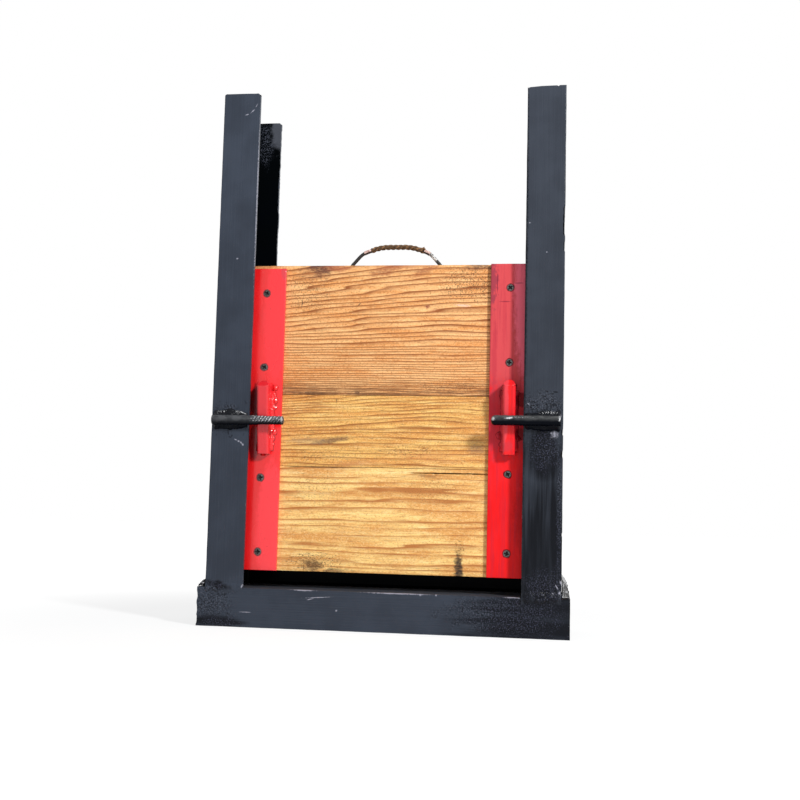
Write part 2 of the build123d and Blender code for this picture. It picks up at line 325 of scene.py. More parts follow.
def red_enamel(name, seed, tints=(), gloss=0.5, streaky=0):
    """Red gloss paint over flat bar, with brush marks, thin places at the edges that are lighter partly as
    painted highlight, dark rims round the welds. tints: lighter or deeper places, with colour, strength and
    raggedness, many of them painted shadow and painted sky reflection. streaky: how far it is streaked."""
    s = Shader(name)
    brush = s.noise(BRUSH["z"], seed, 4, 0.6)
    cloud = s.noise((30, 30, 70), seed + 2)
    grit = s.noise(1.8, seed + 4, 4, 0.65)
    ragged = s.noise((5, 5, 9), seed + 5, 4, 0.65)
    s.colour = s.mix(s.step(cloud, 0.3, 0.75), RED, LIGHT_RED)
    s.paint(BRUSHED_RED, s.step(brush, 0.5, 0.8), 0.3)
    for place, tone, strength, rag in tints:
        s.paint(tone, s.spot(place, ragged, rag, min(rag, 0.5)), strength)
    s.paint(STREAK, s.step(s.noise((4, 4, 80), seed + 6, 3, 0.6), 0.48, 0.68, 0, streaky))
    s.paint(RIM_RED, s.times(s.attribute("rim"), s.step(grit, 0.35, 0.55, 0.5, 1)), 0.8)
    # Edges lighter pink: paint wear and painted edge highlight.
    worn = s.times(s.attribute("edge"), s.step(s.noise((5, 5, 9), seed + 7, 4, 0.7), 0.5, 0.62))
    s.paint(WORN_AND_LIT_RED, worn, 0.5)
    s.paint(FLECK_RED, s.step(s.noise(2.6, seed + 8, 2), 0.7, 0.76), 0.5)
    shine = s.times_plus(s.step(cloud, 0.3, 0.7), 0.12, 0.18)
    s.relief(s.times_plus(brush, 0.5, s.times(grit, 0.15)), 0.25)
    s.shade(Roughness=s.times_plus(worn, 0.2, shine), Specular_IOR_Level=gloss,
            Coat_Weight=gloss * 0.6, Coat_Roughness=0.1)
    return s.material


LATE_WOOD = ((0, 0.35), (0.07, 0), (0.36, 0.04), (0.68, 0.36), (0.8, 0.65), (0.89, 1), (0.97, 1), (1, 0.35))
SPECK = (0.115, 0.045, 0.015)


def timber(name, seed, base_z, lines, sway, tones, patchy, stains, specks, hairy=0.7, band=None):
    """Sawn pine. lines: rings a millimetre at the board's bottom and how that falls with height.
    sway: how far the grain climbs across the board, the heights between which it does, its lines' wander.
    tones: early wood, late wood, the warm tone that comes and goes and the pale one of the fibres.
    patchy: where the dark lines fade. hairy: how much the short fibres show. band: dirt along the bottom."""
    s = Shader(name)
    climb, climb_low, climb_high, wander = sway
    across = s.step(s.x, -230, 95, 0, climb)
    level = s.math("SUBTRACT", s.z, s.times(across, s.step(s.z, climb_low, climb_high)))
    slow = s.noise((170, 60, 34), seed, 2, 0.5)
    quick = s.noise((60, 20, 12), seed + 2, 2, 0.5)
    level = s.times_plus(s.math("SUBTRACT", slow, 0.5), 2 * wander, level)
    level = s.times_plus(s.math("SUBTRACT", quick, 0.5), 1.1, level)
    bow = s.times(s.y, s.times(s.y, 0.004))
    height = s.math("SUBTRACT", s.math("ADD", level, bow), base_z)
    density, fall = lines
    rings = s.times(height, s.times_plus(height, -fall, density))
    rings = s.times_plus(s.noise((900, 900, 11), seed + 4, 1), 2, rings)
    late = s.ramp(s.math("FRACT", rings), *LATE_WOOD)
    strength = s.step(s.noise((80, 30, 10), seed + 6, 2), *patchy)
    late = s.times(late, s.times_plus(strength, 0.7, 0.3))
    fibre = s.noise((26, 1.2, 0.9), seed + 8, 4, 0.65)
    streak = s.noise((75, 9, 3.2), seed + 7, 4, 0.65)
    pore = s.noise((4, 1, 1.2), seed + 9, 4, 0.7)
    grain = s.noise((2.1, 1.6, 1.5), seed + 13, 2, 0.6)
    hair = s.noise((15, 1, 0.8), seed + 11, 3, 0.7)
    early_tone, late_tone, warm_tone, pale_tone = tones
    warm = s.step(s.noise((75, 40, 13), seed + 10, 4, 0.6), 0.42, 0.64)
    s.colour = s.mix(s.times(warm, 0.9), early_tone, warm_tone)
    s.paint(warm_tone, s.step(streak, 0.51, 0.66, 0, 0.8))
    s.paint(pale_tone, s.step(streak, 0.48, 0.28, 0, 0.45))
    s.paint(pale_tone, s.step(pore, 0.52, 0.72, 0, 0.5))
    s.paint(pale_tone, s.step(grain, 0.46, 0.3, 0, 0.45))
    s.paint(late_tone, late)
    s.paint(late_tone, s.step(fibre, 0.54, 0.68, 0, hairy))
    s.paint(tuple(0.55 * part for part in late_tone), s.step(hair, 0.6, 0.7, 0, hairy))
    s.paint(late_tone, s.step(grain, 0.54, 0.72, 0, 0.5))
    ragged = s.noise((9, 9, 4), seed + 12, 5, 0.75)
    for place, share, tone in stains:
        s.paint(tone, s.times(s.spot(place, ragged, 1, 0.7), s.step(pore, 0.35, 0.6, 0.55, 1)), share)
    if band:
        low, high, tone, depth = band
        s.paint(tone, s.times(s.step(s.z, high, low), s.step(fibre, 0.4, 0.58, 0.1, 1)), depth)
    zone = 0.32
    for place, share in specks:
        zone = s.most(zone, s.times(s.spot(place, ragged, 0.9, 0.6), share))
    crumb = s.times_plus(zone, 0.07, s.noise((2, 2, 1.4), seed + 14, 3, 0.6))
    speck = s.times(s.step(crumb, 0.582, 0.662), zone)
    s.paint(SPECK, speck, 0.85)
    relief = s.times_plus(late, 0.5, s.times(fibre, 0.6))
    s.relief(s.times_plus(speck, -0.6, relief), 0.55)
    s.shade(Roughness=s.step(fibre, 0.2, 0.8, 0.68, 0.52), Specular_IOR_Level=0.35)
    return s.material


def plain_metal(name, seed, clean, dirty, shine, share, grain, white_glints=()):
    """Metal with a dull film on it, painted black in its recesses as shade. white_glints: places with painted
    white glints.
    """
    s = Shader(name)
    film = s.step(s.noise(grain, seed, 4, 0.65), share, share + 0.2)
    s.colour = s.mix(film, clean, dirty)
    crumb = s.noise(1.7, seed + 3, 2)
    # Painted white glints on the wire.
    glinting = s.spots(white_glints, crumb, 0.4, 0.4)
    s.paint((0.8, 0.79, 0.77), s.times(glinting, s.step(crumb, 0.48, 0.54)))
    # Painted shade: black in the screws' cross recesses.
    recess = s.attribute("recess")
    s.paint((0.002, 0.002, 0.002), recess)
    dull = s.most(film, glinting, recess)
    s.relief(s.noise(grain * 0.4, seed + 2), 0.08)
    s.shade(Metallic=s.step(dull, 0, 1, 1, 0.1), Roughness=s.step(dull, 0, 1, shine, shine + 0.3))
    return s.material


def rope_fibre(name, seed):
    """Laid brown rope: yarns that wind round each strand, with painted shade where they meet, and pale broken
    fibres.
    """
    s = Shader(name)
    uv = s.split(s.add("ShaderNodeTexCoord").outputs["UV"])
    yarns = 4
    lay = s.math("SINE", s.times(s.math("ADD", uv[0], uv[1]), 2 * pi * yarns))
    fuzz = s.noise(0.6, seed, 3, 0.7)
    cloud = s.noise(4, seed + 1, 3, 0.6)
    # Painted shade where the yarns meet.
    s.colour = s.mix(s.step(lay, -0.8, 0.8), (0.02, 0.01, 0.005), (0.2, 0.105, 0.046))
    s.paint((0.3, 0.16, 0.075), s.step(cloud, 0.48, 0.66, 0, 0.75))
    s.paint((0.42, 0.28, 0.17), s.step(fuzz, 0.55, 0.75, 0, 0.6))
    s.relief(s.times_plus(lay, 0.3, fuzz), 0.3)
    s.shade(Roughness=0.85, Specular_IOR_Level=0.2)
    return s.material


def tape(name, seed):
    """Faded pink tape, with painted shade below."""
    s = Shader(name)
    cloud = s.noise(3, seed, 4, 0.65)
    s.colour = s.mix(s.step(cloud, 0.35, 0.65), (0.42, 0.22, 0.18), (0.8, 0.6, 0.54))
    # Painted shade on the underside.
    s.paint((0.03, 0.02, 0.017), s.step(s.facing_up(), 0.1, -0.5))
    s.relief(cloud, 0.2)
    s.shade(Roughness=0.6, Specular_IOR_Level=0.3)
    return s.material


def closed_copy(node):
    """A node's mesh in millimetres, welded, with its flat faces whole."""
    bm = bmesh.new()
    bm.from_mesh(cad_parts[node].data)
    bmesh.ops.scale(bm, vec=(1 / MM,) * 3, verts=bm.verts)
    bmesh.ops.remove_doubles(bm, verts=bm.verts, dist=1e-3)
    bmesh.ops.dissolve_limit(bm, angle_limit=radians(0.6), verts=bm.verts, edges=bm.edges)
    return bm


def soften(bm, width):
    """Rounds the sharp outer edges and marks the new faces in the layer that the paints read."""
    layer = bm.faces.layers.float.new("edge")
    paired = [e for e in bm.edges if len(e.link_faces) == 2]
    sharp = [e for e in paired if e.is_convex and e.calc_face_angle() > radians(50)]
    made = bmesh.ops.bevel(
        bm, geom=sharp, offset=width, segments=2, profile=0.6, affect="EDGES", clamp_overlap=True)
    for face in made["faces"]:
        face[layer] = 1


def spread(low, high, count):
    """Evenly spaced places from low to high."""
    return [low + (high - low) * number / count for number in range(count + 1)]


def wave(x, y, z):
    """Smooth noise from -1 to 1."""
    return noise.noise(Vector((x, y, z)))


def cut_across(bm, axis, spacing):
    """Cuts the mesh into bands square to an axis, so that it has points to move."""
    places = [v.co[AXES[axis]] for v in bm.verts]
    low, high = min(places), max(places)
    for at in spread(low, high, max(int((high - low) / spacing), 1))[1:-1]:
        bisect(bm, axis, at)


def wear(bm, depth, size, seed):
    """Moves points inwards by noise of the given size, so that nothing grows past the solid."""
    bm.normal_update()
    scale = Vector([1 / length for length in size])
    shift = Vector((seed * 3.1, seed * 1.3, seed * 2.7))
    moves = [(v, v.normal * (noise.noise(v.co * scale + shift) * 0.5 + 0.5)) for v in bm.verts]
    for v, move in moves:
        v.co -= move * depth


def add_object(name, data):
    thing = bpy.data.objects.new(name, data)
    bpy.context.scene.collection.objects.link(thing)
    return thing


def make(name, bm, part, material, nodes=(), crease=38, lining=None):
    """Turns a mesh in millimetres into a piece. part: the body it rides and its slot, which is not used.
    lining is for faces with material index 1."""
    body, slot = part
    bmesh.ops.scale(bm, vec=(MM,) * 3, verts=bm.verts)
    bmesh.ops.recalc_face_normals(bm, faces=bm.faces)
    mesh = bpy.data.meshes.new(name)
    bm.to_mesh(mesh)
    bm.free()
    mesh.shade_smooth()
    mesh.set_sharp_from_angle(angle=radians(crease))
    mesh.materials.append(material)
    if lining:
        mesh.materials.append(lining)
    piece = add_object(name, mesh)
    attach(piece, body)
    if nodes:
        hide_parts(*nodes)
    return piece


def line_hollow(bm, middle):
    """Gives material index 1 to the faces of an upright channel that look into its hollow."""
    bm.normal_update()
    for face in bm.faces:
        inward = middle - face.calc_center_median()
        inward.z = 0
        face.material_index = int(face.normal.dot(inward) > 0.01)


def bisect(bm, axis, at):
    """Cuts the whole mesh at one place on an axis."""
    normal = Vector([float(AXES[axis] == i) for i in range(3)])
    everything = bm.verts[:] + bm.edges[:] + bm.faces[:]
    bmesh.ops.bisect_plane(bm, geom=everything, dist=1e-3, plane_co=normal * at, plane_no=normal)


NICK_DRIFT = 4


def gnaw(bm, x, low_z, high_z, depth, seed, inward=1, least_y=-100):
    """Eats into the edge or face at x, as a torch or a blow leaves it. It drifts up and down on its way back.
    inward is -1 where metal lies outside x. least_y: how far back it begins."""
    first, last = low_z - NICK_DRIFT, high_z + NICK_DRIFT
    for at in spread(first, last, int((last - first) / 2)):
        bisect(bm, "z", at)
    for v in bm.verts:
        z = v.co.z + NICK_DRIFT * wave(seed + 0.5, v.co.y / 18, 0.5)
        inside = min(z - low_z, high_z - z)
        if abs(v.co.x - x) < 1 and inside > 0 and v.co.y > least_y:
            uneven = 0.7 + 0.6 * wave(v.co.z / 5, v.co.y / 14, seed)
            v.co.x -= inward * copysign(depth * uneven * min(inside / 2, 1), x)


def dressed(node, name, part, material, cuts, dents, bevel=None, lining=None, later=None):
    """A node's own shape with worn edges and a hand-made surface. cuts: axes and spacings. dents: depths,
    sizes and seeds. lining is the paint in a channel's hollow, a darker copy that paints its shade. later
    changes the mesh after it is cut."""
    bm = closed_copy(node)
    low, high = box(node)
    if bevel:
        soften(bm, bevel)
    for axis, spacing in cuts:
        cut_across(bm, axis, spacing)
    if later:
        later(bm, low, high)
    for depth, size, seed in dents:
        wear(bm, depth, size, seed)
    for v in bm.verts:
        v.co = Vector([min(max(at, least), most) for at, least, most in zip(v.co, low, high)])
    if lining:
        line_hollow(bm, (low + high) / 2)
    piece = make(name, bm, part, material, [node], lining=lining)
    piece.modifiers.new("normals", "WEIGHTED_NORMAL").keep_sharp = True


def skin(bm, rings):
    """Joins rings of points into a closed surface. Gives back its bands of faces, the last one its cap."""
    bands = []
    for near, far in zip(rings, rings[1:]):
        pairs = [(i, (i + 1) % len(near)) for i in range(len(near))]
        bands.append([bm.faces.new((near[i], near[j], far[j], far[i])) for i, j in pairs])
    bm.faces.new(rings[0][::-1])
    return [*bands, [bm.faces.new(rings[-1])]]


def walk(points):
    """Each point of a line, with the way ahead there and the length so far."""
    length = 0
    for index, point in enumerate(points):
        before, after = points[max(index - 1, 0)], points[min(index + 1, len(points) - 1)]
        length += (point - before).length
        yield point, (after - before).normalized(), length


def tube(bm, points, radius, steps, uv_turns=None):
    """A closed tube along points; radius(along, angle, offset) is its size. UVs: along it and round it."""
    layer = bm.loops.layers.uv.verify() if uv_turns else None
    rings, lengths = [], []
    side = (points[1] - points[0]).normalized().orthogonal().normalized()
    for point, ahead, length in walk(points):
        side = (side - ahead * side.dot(ahead)).normalized()
        up = ahead.cross(side)
        lengths.append(length)
        rings.append([])
        for angle in spread(0, 2 * pi, steps)[:-1]:
            offset = side * cos(angle) + up * sin(angle)
            rings[-1].append(bm.verts.new(point + offset * radius(length, angle, offset)))
    bands = skin(bm, rings)
    if not layer:
        return
    for row, band in enumerate(bands[:-1]):
        for column, face in enumerate(band):
            corners = ((row, column), (row, column + 1), (row + 1, column + 1), (row + 1, column))
            for loop, (i, j) in zip(face.loops, corners):
                loop[layer].uv = (lengths[i] * uv_turns, j / steps)


SKIN_FLOOR = -1
SKIN_BACK = 1.6
RIM_HEIGHT = 0.8


def crust(low, high, base_y, step, rise):
    """A skin of weld metal on a face that looks forward; rise(x, z) is how far it stands out there. Where
    there is none it runs inside the face. The faces along its foot are marked for the paint."""
    bm = bmesh.new()
    layer = bm.faces.layers.float.new("rim")
    columns, rows = [int((last - first) / step) for first, last in zip(low, high)]
    xs, zs = spread(low[0], high[0], columns), spread(low[1], high[1], rows)
    front = [[bm.verts.new((x, base_y - max(rise(x, z), SKIN_FLOOR), z)) for x in xs] for z in zs]
    back = [[bm.verts.new((x, base_y + SKIN_BACK, z)) for x in xs] for z in zs]
    for row in range(rows):
        for column in range(columns):
            corners = ((row, column), (row, column + 1), (row + 1, column + 1), (row + 1, column))
            face = bm.faces.new([front[i][j] for i, j in corners])
            face[layer] = float(min(base_y - v.co.y for v in face.verts) < RIM_HEIGHT)
            bm.faces.new([back[i][j] for i, j in reversed(corners)])
    rim = [(0, j) for j in range(columns)] + [(i, columns) for i in range(rows)]
    rim += [(rows, j) for j in range(columns, 0, -1)] + [(i, 0) for i in range(rows, 0, -1)]
    for (i, j), (k, m) in zip(rim, rim[1:] + rim[:1]):
        bm.faces.new((front[i][j], back[i][j], back[k][m], front[k][m]))
    return bm


def lumps(x, z, seed, *layers):
    """Uneven weld metal: noise in layers, each with its height and the size of its lumps."""
    return sum(height * wave(x / size, z / size, (seed + i) * 3.7) for i, (height, size) in enumerate(layers))


def spatter(bm, seed, count, centre, scatter, sizes):
    """Drops of weld metal stuck to a face that looks forward."""
    rng = random.Random(seed)
    for number in range(count):
        across, up = rng.uniform(-1, 1) * scatter[0], rng.uniform(-1, 1) * scatter[1]
        at = Vector(centre) + Vector((across, 0, up))
        made = bmesh.ops.create_icosphere(
            bm, subdivisions=2, radius=rng.uniform(*sizes), matrix=Matrix.Translation(at))
        for v in made["verts"]:
            swell = 1 + 0.35 * noise.noise(v.co * 0.7 + Vector((number, seed, 0)))
            v.co = at + (v.co - at) * Vector((swell, 0.6 * swell, swell))


CAMERA_AT = Vector((0.21389, -1.43796, 0.15763))
CAMERA_TURN = (95.4969, -1.3902, 7.8255)
CAMERA_LENS = 49.79


def set_camera():
    data = bpy.data.cameras.new("camera")
    data.sensor_width = 36
    data.lens = CAMERA_LENS
    data.clip_start = 0.01
    camera = add_object("camera", data)
    camera.location = CAMERA_AT
    camera.rotation_euler = Euler([radians(turn) for turn in CAMERA_TURN], "XYZ")
    bpy.context.scene.camera = camera


def set_lamp(name, at, aim, width, power):
    data = bpy.data.lights.new(name, "AREA")
    data.shape = "DISK"
    data.size = width
    data.energy = power
    lamp = add_object(name, data)
    lamp.location = at
    lamp.rotation_euler = (Vector(aim) - Vector(at)).to_track_quat("-Z", "Y").to_euler()


def set_world(level):
    world = bpy.data.worlds.new("studio")
    bpy.context.scene.world = world
    world.use_nodes = True
    nodes = Nodes(world.node_tree)
    light = world.node_tree.nodes["Background"]
    nodes.set(light, Color=(0.97, 0.985, 1), Strength=level)
    backdrop = nodes.add("ShaderNodeBackground", (1, 1, 1), 1)
    nodes.show_instead(light, backdrop, "World Output")


def set_floor(half, near, far, whiteness, glow_strength):
    """A white floor that glows where it shows, a little less round the object, where its shadow lies."""
    bm = bmesh.new()
    bmesh.ops.create_grid(bm, x_segments=2, y_segments=2, size=half)
    mesh = bpy.data.meshes.new("floor")
    bm.to_mesh(mesh)
    bm.free()
    floor = add_object("floor", mesh)
    s = Shader("floor_pale")
    s.colour = (0.88, 0.88, 0.88)
    s.shade(Roughness=0.9, Specular_IOR_Level=0)
    glow = s.add("ShaderNodeEmission", (1, 1, 1), glow_strength)
    share = s.step(s.vector("LENGTH", s.place), near / MM, far / MM, whiteness, 1)
    s.show_instead(s.bsdf, glow, "Material Output", share)
    mesh.materials.append(s.material)


bpy.context.scene.view_settings.view_transform = "Standard"
set_camera()
set_world(level=0.44)
set_lamp("key", at=(1.76, -1.64, 1.6), aim=(0, 0, 0.32), width=0.32, power=75)
set_floor(half=6, near=0.35, far=0.9, whiteness=0.72, glow_strength=1.08)

BIG = 25
EDGE_DEPTH = 7
BROWN = (0.16, 0.055, 0.022)
DARK = (0.045, 0.028, 0.018)
GREY = (0.2, 0.135, 0.085)


def ellipse(x, y, z, wide, deep, tall, turn=0):
    """A spot in a paint: its middle, its half sizes and its turn about Y."""
    return (x, y, z), (wide, deep, tall), turn


def front(x, z, wide, tall, turn=0):
    """A spot on the frame's front."""
    return ellipse(x, FRONT_Y, z, wide, BIG, tall, turn)


def edge(x, z, wide, tall, turn=0):
    """A spot on the frame's front that stays off the faces behind."""
    return ellipse(x, FRONT_Y, z, wide, EDGE_DEPTH, tall, turn)


def tint(x, z, wide, tall, tone, strength, rag=0.3):
    """A tint on a front strap."""
    return ellipse(x, STRAP_Y, z, wide, BIG, tall), tone, strength, rag


def screw_gaps(side):
    """The dark rings round the screws of a front strap: painted shade in the gap round each head."""
    return [tint(SCREW_X[side], z, 6.3, 6.3, SCREW_GAP, 0.95) for z in SCREW_HEIGHTS[side]]


def stain(x, z, wide, tall, strength, tone, turn=0):
    """A stain on the front of the boards."""
    return ellipse(x, BOARD_Y, z, wide, BIG, tall, turn), strength, tone


def specked(x, z, wide, tall, share):
    """A part of the boards' front with many specks."""
    return ellipse(x, BOARD_Y, z, wide, BIG, tall), share


left_paint = frame_enamel(
    "enamel_left", "z", 1,
    rough=[front(-205, 280, 20, 5), front(-214, 50, 24, 10)],
    dark=[front(-210, 53, 22, 6, 14)],
    marks=[
        front(-194, 671, 4, 1, -20), front(-186, 676, 5, 0.9, -42), front(-181.5, 683, 3, 0.9, -60),
        front(-199.8, 476.2, 1.6, 1.2), front(-192.8, 238.4, 2.2, 0.8, 20),
        front(-188.7, 236.5, 1.8, 1.3, 30), front(-185.3, 234.6, 2, 1.3, 40),
        # The long thin pale line along the inner edge of the front flange is a painted edge highlight.
        front(-183, 232.3, 1.8, 1.3, 50), edge(-177.2, 51.5, 1.4, 3.2, 15), edge(-176.7, 560, 0.55, 130),
    ],
    strokes=[
        front(-203.1, 247.6, 1, 5, -6), front(-200.6, 241.6, 2.8, 1, 10), front(-197.9, 243.2, 0.9, 2.2, 20),
        edge(-227, 150, 3, 120),
    ],
)
right_paint = frame_enamel(
    "enamel_right", "z", 11, film=(0.0393, 0.0468, 0.0627),
    rough=[front(200, 290, 34, 20), front(206, 64, 34, 30), front(222, 150, 5, 110), front(204, 232, 28, 34)],
    # Painted shade: the darker places over the lower upright and round its foot.
    dark=[front(203, 95, 62, 140), front(202, 225, 36, 50), front(185, 60, 24, 26)],
    chips_and_glints=[front(214.9, 251.2, 6, 5.5, 35)],
    marks=[
        front(222, 274.5, 1.6, 4), front(203, 482, 1, 1), front(181, 520, 1.3, 0.9),
        front(182.5, 289, 2.6, 1, 35), front(219.5, 64, 1.1, 3.6, -30), front(223, 57, 1.8, 3, 24),
        front(215, 56, 2.4, 1, 40), front(224.5, 69, 1.1, 4, -20),
    ],
    strokes=[
        front(215.6, 304.3, 4, 1.2, 6), front(211.9, 301.8, 3, 1, -8), front(205, 305, 3.5, 0.9, 12),
        # The long dark line along the inner edge is painted shade.
        front(184.8, 284.6, 2, 1, 30), front(175.5, 440, 4.4, 420), edge(227, 590, 3, 160),
    ],
)
sill_paint = frame_enamel(
    "enamel_sill", "x", 21, dusty=0.5,
    rough=[front(-216, 30, 34, 34), front(-205, 4, 40, 14), front(160, 28, 100, 36)],
    # Painted shade: the darker places over the right part and the right end of the sill.
    dark=[front(236, 22, 17, 70), front(-212, 4, 46, 16), front(206, 28, 120, 60)],
    marks=[
        front(-78, 41, 20, 0.7, -4), front(-88, 38.5, 6, 0.7, -14), front(-53.9, 25.4, 1.6, 1.6),
        # The thin pale lines and dots along the front top edge are painted highlights.
        front(-172, 19.4, 10, 0.6), edge(-98, 49.4, 20, 1.3), edge(24, 49.4, 50, 1.3),
        edge(51.4, 49, 1.6, 2.4), edge(71.5, 49, 1.4, 2), edge(166, 49.4, 12, 1.4),
    ],
)
# A darker, duller copy of the frame paint for the hollows of the uprights: painted shade. Its pale patch at
# the top of the rear flange is painted light.
shaded_inside_paint = frame_enamel(
    "enamel_inside_shaded", "z", 36, film=(0.0012, 0.0018, 0.0022), gloss=0.015,
    rough=[ellipse(-199, 60, 672, 17, BIG, 42)], pale=[ellipse(-180, 60, 692, 17, BIG, 36)])
# Painted shade: the seat bars are near black and dull, so that the gap under the gate shows as shadow.
shaded_bar_paint = frame_enamel("enamel_bar_shaded", "z", 41, film=(0.0016, 0.002, 0.0024), gloss=0.02, dusty=0.4)
weld_paint = thick_enamel(
    "enamel_weld", 31, top_sheen=(0.014, 0.015, 0.018), glint_level=0.85,
    chips_and_glints=[ellipse(-184.5, -57, 273.5, 6, 9, 0.7, 22)],
    sparkle=[
        ellipse(-190, -57, 275, 16, 12, 7), ellipse(-213, -57, 275.5, 16, 12, 7),
        ellipse(208, -57, 279, 24, 12, 6), ellipse(-229, -52, 56, 8, 9, 8),
    ],
)
crumbly_paint = thick_enamel("enamel_crumbly", 33, top_sheen=(0.2, 0.2, 0.2), glint_level=0.57, gloss=0.16)
left_rod_paint = thick_enamel(
    "enamel_rod_left", 51, top_sheen=(0.086, 0.089, 0.096), glint_level=0.78,
    chips_and_glints=[ellipse(-130.2, -65, 264, 1, 9, 5)], sparkle=[ellipse(-146, -64, 266, 42, 24, 15)],
    ribs=((-129, 263.5), 0.49, 4.2))
right_rod_paint = thick_enamel(
    "enamel_rod_right", 53, top_sheen=(0.082, 0.085, 0.086), glint_level=0.82, lit=(-0.35, 0.75),
    chips_and_glints=[
        ellipse(139, -64, 269, 3.6, 8, 2.6), ellipse(159, -66, 270, 6, 8, 1.4, -8),
        ellipse(221.5, -62, 270, 2, 9, 5),
    ],
    sparkle=[ellipse(170, -62, 271, 40, 9, 2)],
)
left_red = red_enamel(
    "red_left", 2,
    tints=[
        # Painted shadow: deep red between the upright and the wedge, above and below the rod.
        tint(-172, 290, 10, 27, DEEP, 1), tint(-173, 236, 8, 27, DEEP, 0.8),
        tint(-148, 130, 21, 95, (0.98, 0.034, 0.048), 0.8),
        tint(-148, 400, 21, 100, (0.92, 0.026, 0.038), 0.7), tint(-140, 462, 6, 14, MUTED, 0.6, 0.5),
        *screw_gaps("left"),
    ],
)
left_wedge_red = red_enamel(
    "red_left_wedge", 4, gloss=0.4,
    tints=[(ellipse(-158, -48, 270, 70, 60, 120), (0.62, 0.026, 0.04), 0.6, 0.3)])
right_red = red_enamel(
    "red_right", 13, gloss=0.06, streaky=0.3,
    tints=[
        # Painted sky reflection: pale pink over the upper strap, lighter and more purple where the upright's
        # shadow falls.
        tint(165, 425, 90, 150, PAINTED_SKY_PINK, 0.95), tint(191, 440, 33, 170, SHADE_SKYLIGHT_PINK, 0.95, 0.25),
        tint(133.5, 452, 8, 44, (0.26, 0.04, 0.065), 0.75, 1.3), tint(138, 350, 4, 60, MUTED, 0.6, 0.5),
        tint(150, 400, 3, 60, MUTED, 0.4, 0.7), tint(140.5, 446, 0.8, 15, (0.16, 0.02, 0.04), 0.7),
        tint(150.5, 422, 9, 0.8, SCRATCH_RED, 0.7), tint(168, 446, 7, 0.8, SCRATCH_RED, 0.6),
        # Painted shadow of the wedge: the muted band round it is partly that, the two small deep spots at its
        # left side wholly.
        tint(150, 270, 60, 62, MUTED, 0.7, 0.5), tint(173, 295.5, 9, 10.5, DEEP, 0.9),
        tint(172, 252, 9, 9, DEEP, 0.85), tint(147, 302, 3, 9, DEEP, 0.6, 0.6),
        # Painted shadow of the upright's flange over the lower right of the strap.
        tint(146.5, 250, 3.6, 7, DEEP, 0.6, 0.6), tint(204, 150, 44, 80, DEEP, 0.35), *screw_gaps("right"),
    ],
)
right_wedge_red = red_enamel(
    "red_right_wedge", 14, gloss=0.14,
    tints=[
        # Painted light: the wedge's left part muted pink and its right edge saturated red, as the light falls
        # from the right; muted lower down.
        (ellipse(128, -48, 296, 31, 60, 120), (0.72, 0.06, 0.078), 0.8, 0.06),
        (ellipse(169, -48, 270, 9, 60, 120), (0.62, 0.01, 0.018), 0.6, 0.06),
        (ellipse(156, -48, 236, 9, BIG, 9), MUTED, 0.5, 0.5),
    ],
)
rear_red = red_enamel("red_rear", 23)

upper_wood = timber(
    "pine_upper", 3, box("upper_board")[0].z, lines=(0.36, 0.00075), sway=(30, 345, 455, 4),
    tones=((0.93, 0.5, 0.2), (0.29, 0.086, 0.019), (0.78, 0.32, 0.09), (1, 0.68, 0.33)),
    patchy=(0.08, 0.5), hairy=0.5,
    stains=[
        stain(-93, 469, 27, 19, 1, (0.085, 0.028, 0.022)), stain(-70, 469, 22, 8, 0.8, (0.36, 0.085, 0.04)),
        stain(-108, 458, 26, 12, 0.4, (0.42, 0.15, 0.05)),
        stain(-5, 464, 26, 8, 0.8, (0.34, 0.1, 0.035), -14),
        stain(44, 463, 26, 6, 0.75, (0.34, 0.1, 0.035), -22), stain(10, 469, 60, 5, 0.6, (0.45, 0.14, 0.055)),
        stain(118, 469, 26, 6, 0.8, (0.11, 0.05, 0.03)), stain(50, 416.5, 4.6, 3.6, 0.95, (0.24, 0.05, 0.03)),
        stain(58, 411, 14, 3.2, 0.5, (0.42, 0.13, 0.05), -22),
        stain(96, 418, 13, 2.2, 0.75, (0.86, 0.56, 0.46), 2),
        stain(-39, 303, 4, 3.2, 1, (0.05, 0.018, 0.012)), stain(-96, 302, 44, 2.2, 1, (0.05, 0.022, 0.012)),
        stain(-20, 301.5, 60, 1.8, 0.8, (0.08, 0.035, 0.018)), stain(-116, 421, 1.2, 7, 0.9, DARK, 8),
        stain(-40, 419, 5, 1.4, 0.9, DARK, -40),
    ],
    specks=[specked(102, 446, 50, 34, 0.9), specked(-108, 436, 44, 46, 0.7), specked(80, 312, 70, 14, 0.6)],
    band=(302, 326, (0.17, 0.07, 0.024), 0.85),
)
middle_wood = timber(
    "pine_middle", 17, box("middle_board")[0].z, lines=(0.15, -0.0005), sway=(14, 205, 290, 7),
    tones=((0.9, 0.53, 0.148), (0.31, 0.105, 0.02), (0.72, 0.31, 0.068), (1, 0.78, 0.37)),
    patchy=(0.26, 0.6),
    stains=[
        stain(-72, 240.5, 34, 5.4, 0.95, (0.17, 0.085, 0.042), -8),
        stain(-104, 240, 34, 7, 0.5, (0.4, 0.26, 0.14)), stain(-66, 293, 1, 4, 0.9, DARK),
        stain(60, 222, 70, 9, 0.5, (0.62, 0.23, 0.07)), stain(-40, 212, 36, 5, 0.6, (0.52, 0.2, 0.07), -6),
        stain(118, 232, 16, 9, 0.5, GREY),
    ],
    specks=[specked(30, 228, 60, 12, 0.6), specked(-80, 219, 56, 14, 0.6)],
)
